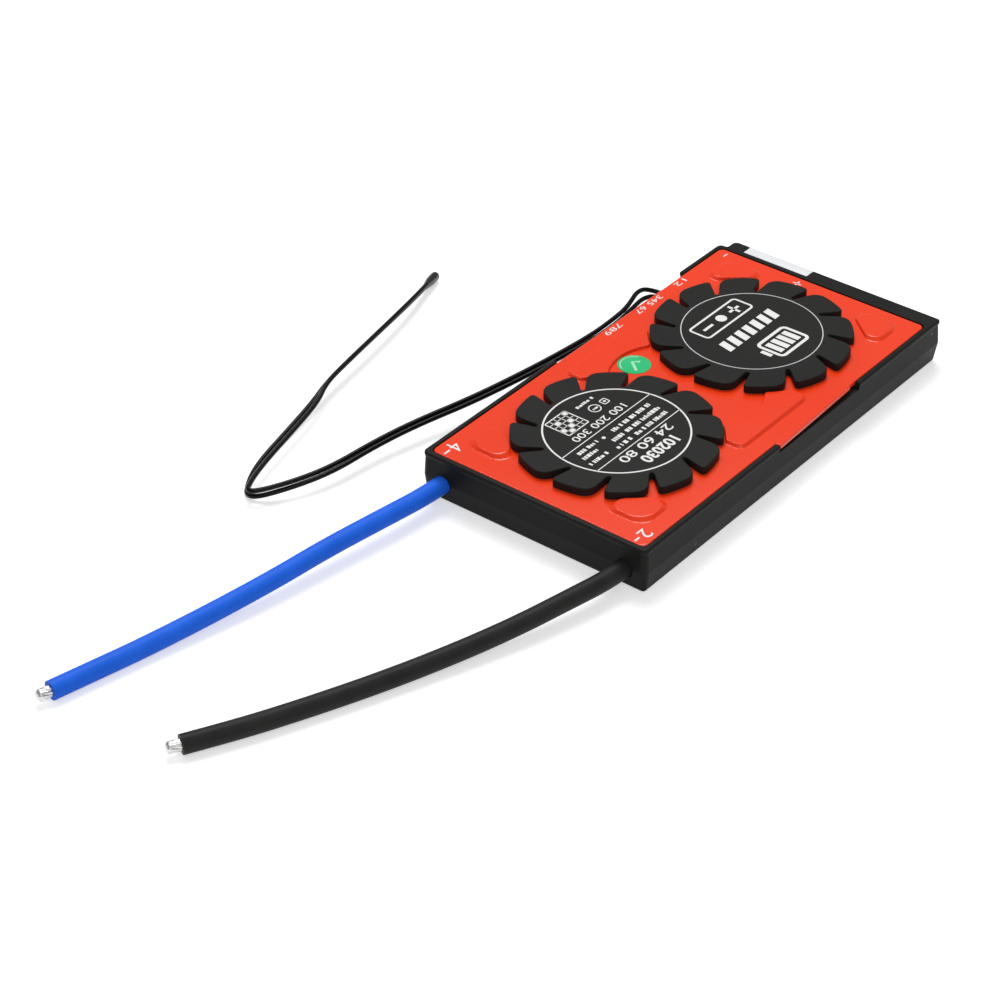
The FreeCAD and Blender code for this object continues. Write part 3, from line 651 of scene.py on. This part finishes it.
def cover_plate():
    """The pressed plate: a flat sheet with six smooth bosses and a softened edge."""
    outline = rounded_loop([
        (-plate_half, plate_near, plate_corner),
        (plate_half, plate_near, plate_corner),
        (plate_half, ear_near, 0.1),
        (plate_half + ear_reach_near, ear_near, 0.4),
        (plate_half + ear_reach_far, ear_far, 0.3),
        (plate_half, ear_far, 0.08),
        (plate_half, plate_far, plate_corner),
        (-plate_half, plate_far, plate_corner),
    ], 6)
    work = bmesh.new()

    def ring(loop, z):
        return [work.verts.new((x * MM, y * MM, z * MM)) for x, y in loop]

    def skirt(low, high):
        count = len(low)
        for k in range(count):
            n = (k + 1) % count
            work.faces.new((low[k], low[n], high[n], high[k]))

    def edges_of(loop):
        count = len(loop)
        found = []
        for k in range(count):
            pair = (loop[k], loop[(k + 1) % count])
            found.append(work.edges.get(pair) or work.edges.new(pair))
        return found

    levels = [(0.0, plate_under), (0.0, plate_top - 0.22), (0.06, plate_top - 0.07), (0.22, plate_top)]
    rings = [ring(inset_loop(outline, inset), z) for inset, z in levels]
    for low, high in zip(rings, rings[1:]):
        skirt(low, high)
    work.faces.new(rings[0][::-1])
    border = edges_of(rings[-1])
    bosses, shares = boss_rings()
    for boss in bosses:
        previous = None
        for loop, share in zip(boss, shares):
            z = plate_top + boss_height * (0.5 - 0.5 * math.cos(math.pi * share))
            current = ring(loop, z)
            if previous is None:
                border += edges_of(current)
            else:
                skirt(previous, current)
            previous = current
        work.faces.new(previous)
    bmesh.ops.triangle_fill(work, edges=border, use_beauty=True)
    bmesh.ops.recalc_face_normals(work, faces=work.faces)
    mesh = bpy.data.meshes.new("pressed_plate")
    work.to_mesh(mesh)
    work.free()
    piece = finished_piece("pressed_plate", mesh, plate_red, ["cover_plate"])
    sharpen(piece, 60)
    weigh_normals(piece)


cover_plate()


# Rosettes
def polar(radius, angle):
    """A point in the plan, at an angle in degrees."""
    return Vector((radius * math.cos(math.radians(angle)), radius * math.sin(math.radians(angle))))


def slot_tangent(centre, outside, side):
    """Where a line from an outside point touches a slot's round end, on its -1 or 1 side."""
    away = outside - centre
    bearing = heading(away) + side * math.acos(slot_end_radius / away.length)
    return centre + Vector((math.cos(bearing), math.sin(bearing))) * slot_end_radius


def rim_fillet(point, along, inward, radius):
    """Centre of a fillet between a slot's straight side and the rim, inside both."""
    base = point + inward * radius
    reach = rosette_radius - radius
    b = base.dot(along)
    c = base.length_squared - reach * reach
    return base + along * (-b + math.sqrt(b * b - c))


def petal_outline():
    """The rosette's outline about its own centre, anticlockwise."""
    centre = polar(slot_end_at, slot_end_angle)
    flared_rim, steep_rim = polar(slot_aim, flared_angle), polar(slot_aim, steep_angle)
    flared_root = slot_tangent(centre, flared_rim, -1)
    steep_root = slot_tangent(centre, steep_rim, 1)
    flared_along = (flared_rim - flared_root).normalized()
    steep_along = (steep_rim - steep_root).normalized()
    flared_in = Vector((flared_along.y, -flared_along.x))
    steep_in = Vector((-steep_along.y, steep_along.x))
    flared_round = rim_fillet(flared_root, flared_along, flared_in, flared_corner)
    steep_round = rim_fillet(steep_root, steep_along, steep_in, steep_corner)
    rim_start, rim_end = heading(steep_round), heading(flared_round)
    side_end = onward(rim_end, heading(-flared_in))
    side_start = heading(-steep_in)
    root_end = heading(steep_root - centre)
    root_start = onward(root_end, heading(flared_root - centre))
    pitch = 2 * math.pi / petal_count
    period = swing(flared_round, flared_corner, rim_end, side_end, 8)
    period += swing(centre, slot_end_radius, root_start, root_end, 8)
    period += swing(steep_round, steep_corner, side_start, onward(side_start, rim_start), 6)
    period += swing((0, 0), rosette_radius, rim_start, rim_end + pitch, 14)[1:-1]
    points = []
    for k in range(petal_count):
        spin = Matrix.Rotation(pitch * k, 2)
        points += [spin @ Vector(p) for p in period]
    return points


def rosette(name, centre_y, node):
    """A petalled disc with softly rounded upper edges."""
    levels = [
        (0.0, plate_top), (0.0, petal_top - 0.34), (0.04, petal_top - 0.19),
        (0.13, petal_top - 0.07), (0.3, petal_top),
    ]
    vertices, faces = upright_solid(petal_outline(), levels, centre_y)
    piece = mesh_piece(name, vertices, faces, rosette_black, [node])
    sharpen(piece, 50)
    weigh_normals(piece)


rosette("petals_near", rosette_near_y, "rosette_near")
rosette("petals_far", rosette_far_y, "rosette_far")


# Printed marks: plain numbers, bars and signs
class Marks:
    """Flat print on one level, gathered into one mesh.

    A mark's u runs along -Y and its v along +X, from the print's centre.
    """

    def __init__(self, centre, z):
        self.centre, self.z = centre, z
        self.vertices, self.faces = [], []

    def place(self, u, v):
        """A point of the print as a point of the part."""
        return self.centre[0] + v, self.centre[1] - u, self.z

    def patch(self, points):
        """A flat face through points."""
        start = len(self.vertices)
        self.vertices += [self.place(u, v) for u, v in points]
        self.faces.append(tuple(range(start + len(points) - 1, start - 1, -1)))

    def bar(self, u0, u1, v0, v1, lean=0.0):
        """A bar, which may lean."""
        self.patch([(u0, v0), (u1, v0), (u1 + lean, v1), (u0 + lean, v1)])

    def path(self, points, width, closed=True):
        """A line of even width through points."""
        count = len(points)
        sides = []
        for k, point in enumerate(points):
            before = points[k - 1] if closed or k else point
            after = points[(k + 1) % count] if closed or k < count - 1 else point
            along = (Vector(after) - Vector(before)).normalized()
            across = Vector((-along.y, along.x)) * (width / 2)
            here = Vector(point)
            sides.append((tuple(here + across), tuple(here - across)))
        for k in range(count if closed else count - 1):
            one, two = sides[k], sides[(k + 1) % count]
            self.patch([one[1], two[1], two[0], one[0]])

    def ring(self, u, v, radius, width, steps=96):
        """A thin ring."""
        self.path(swing((u, v), radius, 0.0, 2 * math.pi * (steps - 1) / steps, steps - 1), width)

    def dot(self, u, v, radius, steps=16):
        """A filled disc."""
        self.patch(swing((u, v), radius, 0.0, 2 * math.pi * (steps - 1) / steps, steps - 1))

    def frame(self, u0, u1, v0, v1, radius, width):
        """A rectangle's outline with round corners."""
        corners = [(u0, v0, radius), (u1, v0, radius), (u1, v1, radius), (u0, v1, radius)]
        self.path(rounded_loop(corners, 5), width)

    def short_bars(self, u0, u1, v0, v1, seed):
        """A row of short bars of uneven length, a few of them cut short, with gaps."""
        draw = random.Random(seed)
        shortest, longest, least_left = 0.35, 1.1, 0.3
        full_share, cut = 0.8, 0.25 * (v1 - v0)
        narrow_share, narrow_gap, wide_gap = 0.75, 0.22, 0.8
        u = u0
        while u < u1 - least_left:
            end = min(u + draw.uniform(shortest, longest), u1)
            low = v0 if draw.random() < full_share else v0 + cut
            self.bar(u, end, low, v1)
            u = end + (narrow_gap if draw.random() < narrow_share else wide_gap)

    def number(self, body, u0, u1, v0, v1, weight=0.0):
        """Plain numerals, stretched to fill a box."""
        data = bpy.data.curves.new("numerals", "FONT")
        data.body = body
        data.offset = weight
        data.resolution_u = 4
        holder = bpy.data.objects.new("numerals", data)
        scene.collection.objects.link(holder)
        bpy.context.view_layer.update()
        mesh = bpy.data.meshes.new_from_object(holder)
        xs = [v.co.x for v in mesh.vertices]
        ys = [v.co.y for v in mesh.vertices]
        left, right, low, high = min(xs), max(xs), min(ys), max(ys)
        start = len(self.vertices)
        for x, y in zip(xs, ys):
            u = u0 + (x - left) / (right - left) * (u1 - u0)
            v = v0 + (y - low) / (high - low) * (v1 - v0)
            self.vertices.append(self.place(u, v))
        for face in mesh.polygons:
            self.faces.append(tuple(start + i for i in face.vertices))
        bpy.data.objects.remove(holder)
        bpy.data.meshes.remove(mesh)

    def piece(self, name, material, slot="header_white"):
        """The print as a piece, with every face up."""
        made = mesh_piece(name, self.vertices, self.faces, material, smooth=False)
        work = bmesh.new()
        work.from_mesh(made.data)
        for face in work.faces:
            face.normal_update()
            if face.normal.z < 0:
                face.normal_flip()
        work.to_mesh(made.data)
        work.free()


def near_disc_print():
    """Numbers, rows of short bars and a grid, in a ring with two lines across it."""
    marks = Marks((0.0, rosette_near_y), disc_print_z)
    marks.ring(0, 0, disc_radius, 0.44)
    half_line = 0.13
    for v in (6.5, -2.97):
        half = math.sqrt(disc_radius ** 2 - v ** 2)
        marks.bar(-half, half, v - half_line, v + half_line)
    marks.number("102030", -6.2, 6.2, 10.9, 14.2, 0.03)
    marks.number("24 60 80", -9.6, 9.6, 7.3, 9.9, 0.008)
    marks.short_bars(-13.5, -1.0, 3.9, 5.1, 3)
    marks.short_bars(0.4, 6.2, 3.9, 5.1, 5)
    marks.short_bars(-13.9, -1.0, 1.4, 2.6, 8)
    marks.short_bars(0.2, 5.0, 1.4, 2.6, 13)
    marks.short_bars(-13.6, 1.5, -1.2, 0.0, 21)
    marks.dot(4.4, -0.5, 0.5)
    marks.short_bars(8.6, 15.2, 3.2, 4.3, 34)
    marks.short_bars(9.2, 14.4, 0.6, 1.7, 55)
    marks.short_bars(6.4, 13.6, -1.5, -0.4, 89)
    marks.number("100 200 300", -9.8, 9.8, -6.2, -4.0, 0.006)
    marks.frame(-9.0, -7.1, -10.6, -8.7, 0.4, 0.3)
    marks.dot(-8.05, -9.65, 0.4)
    marks.ring(-4.2, -9.6, 1.5, 0.3, 30)
    marks.short_bars(-5.1, -3.3, -9.95, -9.2, 2)
    marks.short_bars(-7.6, -1.4, -13.4, -12.5, 144)
    grid_left, grid_right, grid_low, grid_high = 1.2, 8.7, -14.6, -7.3
    cell_u, cell_v, cells, half_line = 1.5, 1.46, 5, 0.1
    marks.frame(grid_left, grid_right, grid_low, grid_high, 0.3, 0.35)
    for k in range(1, cells):
        u, v = grid_left + cell_u * k, grid_low + cell_v * k
        marks.bar(grid_left, grid_right, v - half_line, v + half_line)
        marks.bar(u - half_line, u + half_line, grid_low, grid_high)
    for row, column in ((0, 0), (2, 1), (4, 3), (1, 3), (3, 4), (3, 2)):
        u, v = grid_left + cell_u * column, grid_low + cell_v * row
        marks.bar(u, u + cell_u, v, v + cell_v)
    marks.piece("near_disc_print", print_white)


def far_disc_print():
    """A grey ring round a battery, a row of leaning bars and a frame with three signs."""
    marks = Marks((0.0, rosette_far_y), disc_print_z)
    marks.ring(0, 0, disc_radius, 0.26)
    marks.piece("far_disc_ring", print_grey)

    marks = Marks((0.0, rosette_far_y), disc_print_z)
    marks.frame(-6.3, 5.0, 5.0, 12.7, 1.2, 0.9)
    marks.bar(5.9, 7.1, 7.3, 10.4)
    cell_pitch, bar_pitch = 2.35, 3.2
    for k in range(4):
        marks.bar(-5.0 + cell_pitch * k, -3.3 + cell_pitch * k, 6.4, 11.3)
    for k in range(7):
        marks.bar(-11.0 + bar_pitch * k, -8.9 + bar_pitch * k, -2.7, 1.5, 0.9)
    marks.frame(-9.6, 9.6, -12.2, -6.2, 1.0, 0.6)
    marks.bar(-7.4, -3.6, -9.6, -8.8)
    marks.bar(-5.9, -5.1, -11.1, -7.3)
    marks.dot(0.0, -9.2, 1.5)
    marks.bar(3.6, 7.4, -9.6, -8.8)
    marks.piece("far_disc_print", print_white)


def plate_print():
    """Plain numbers and signs at the plate's edges."""
    marks = Marks((0.0, 0.0), plate_print_z)
    marks.number("4", 54.8, 57.2, -29.5, -25.3)
    marks.bar(57.9, 59.9, -27.7, -27.2)
    marks.number("2", 55.0, 57.6, 26.2, 29.6)
    marks.bar(58.3, 60.0, 27.5, 28.0)
    marks.bar(-55.6, -53.8, -28.05, -27.7)
    marks.bar(-55.6, -53.2, -5.7, -5.3)
    marks.bar(-54.6, -54.2, -6.7, -4.3)
    marks.number("12", -38.5, -34.5, -30.0, -28.3)
    marks.number("345 67", -28.2, -17.8, -30.0, -28.3)
    marks.number("789", -11.1, -4.9, -30.0, -28.3)
    marks.piece("plate_marks", print_white)


def sticker_print():
    """A tick over a short arc."""
    marks = Marks((sticker_x, plate_middle), sticker_print_z)
    marks.path([(-1.9, 0.4), (-0.6, -1.1), (1.9, 2.0)], 0.75, closed=False)
    marks.path(swing((0, 0), 3.5, math.radians(200), math.radians(340), 18), 0.3, closed=False)
    marks.piece("sticker_tick", pale_green, "sticker_green")


near_disc_print()
far_disc_print()
plate_print()
sticker_print()


# Hood of the balance header, in the far bay
def header_hood():
    """The raised lip on the balance header's shroud, with softened edges."""
    left, right, back, face, foot, top = -25.2, -5.6, 58.85, 62.2, 9.79, 11.85
    back_corner, face_corner = 0.3, 0.2
    outline = rounded_loop([
        (left, back, back_corner),
        (right, back, back_corner),
        (right, face, face_corner),
        (left, face, face_corner),
    ], 6)
    levels = [(0.0, foot), (0.0, top - 0.2), (0.06, top - 0.06), (0.18, top)]
    vertices, faces = upright_solid(outline, levels)
    piece = mesh_piece("header_hood", vertices, faces, header_white)
    sharpen(piece, 50)


header_hood()


# Small moulding marks on the right wall
def wall_lean(height):
    """How far the right wall stands in from its widest, at a height."""
    if height < parting_height:
        return foot_draft * (parting_height - height) / parting_height
    return waist_inset * (height - parting_height) / (waist_height - parting_height)


def wall_marks():
    """Three shallow round marks left on the wall by the mould, as low discs."""
    around, sunk, proud = 20, -0.05, 0.018
    vertices, faces = [], []
    for y, z, radius in ((-42.25, 2.8, 0.4), (58.4, 9.6, 0.38), (58.5, 4.85, 0.32)):
        faces += ring_faces(2, around, len(vertices))
        for lift in (sunk, proud):
            for k in range(around):
                angle = 2 * math.pi * k / around
                height = z + radius * math.sin(angle)
                wall = half_width - wall_lean(height)
                vertices.append((wall + lift, y + radius * math.cos(angle), height))
    mesh_piece("wall_marks", vertices, faces, package_black, smooth=False)


wall_marks()
